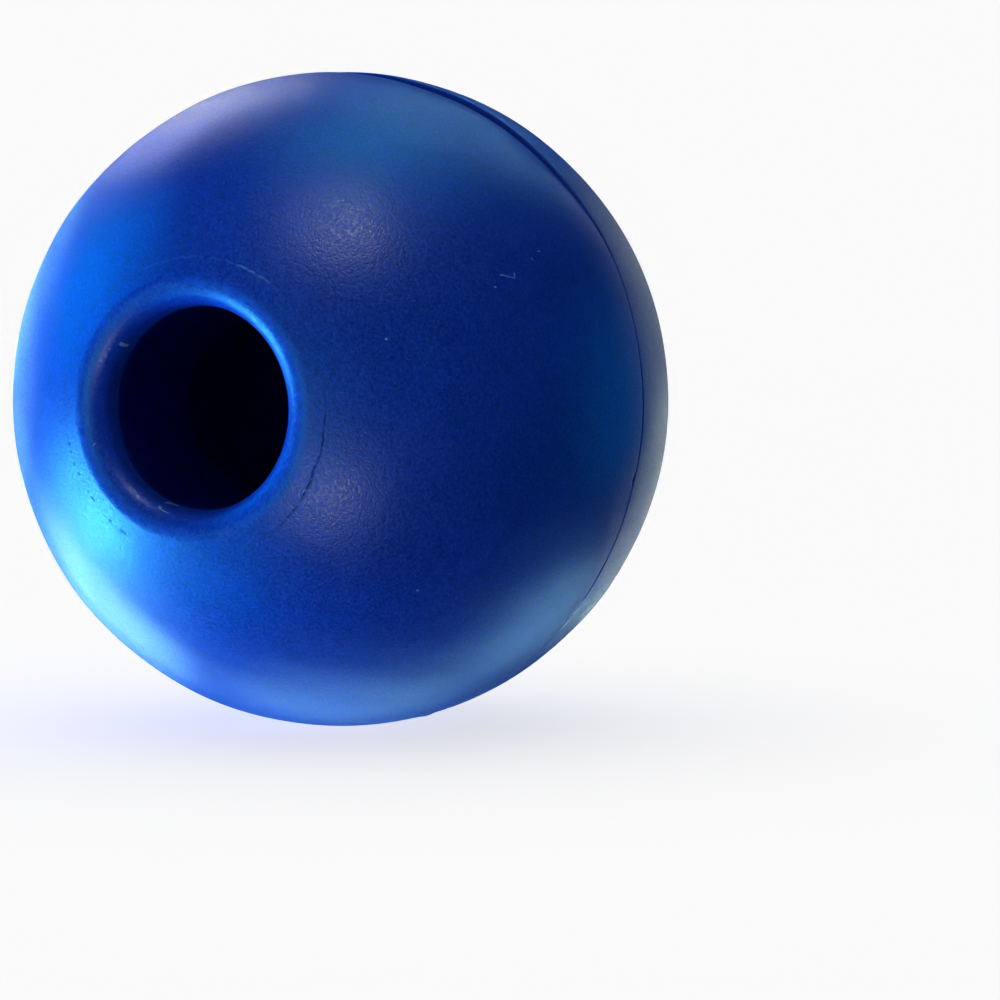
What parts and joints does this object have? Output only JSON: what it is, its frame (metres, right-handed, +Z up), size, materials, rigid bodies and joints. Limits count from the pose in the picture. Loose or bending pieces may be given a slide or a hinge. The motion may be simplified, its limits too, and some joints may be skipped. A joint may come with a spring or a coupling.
{
  "type": "rope stopper ball",
  "caption": "Smooth round plastic ball with a narrow rope hole at one end that opens into a wide knot pocket at the other, so that it stops on a knotted rope.",
  "frame": {"origin": "centre of the ball, on the axis of its bore", "axes": "+Y along the bore, from the rope hole towards the mouth of the knot pocket; +Z up"},
  "size_m": [0.04, 0.0364, 0.04],
  "materials": {
    "ball_plastic": "satin, finely grained royal blue moulded plastic"
  },
  "bodies": {
    "root": {"rope_end_half": "ball_plastic", "knot_end_half": "ball_plastic"}
  },
  "joints": []
}
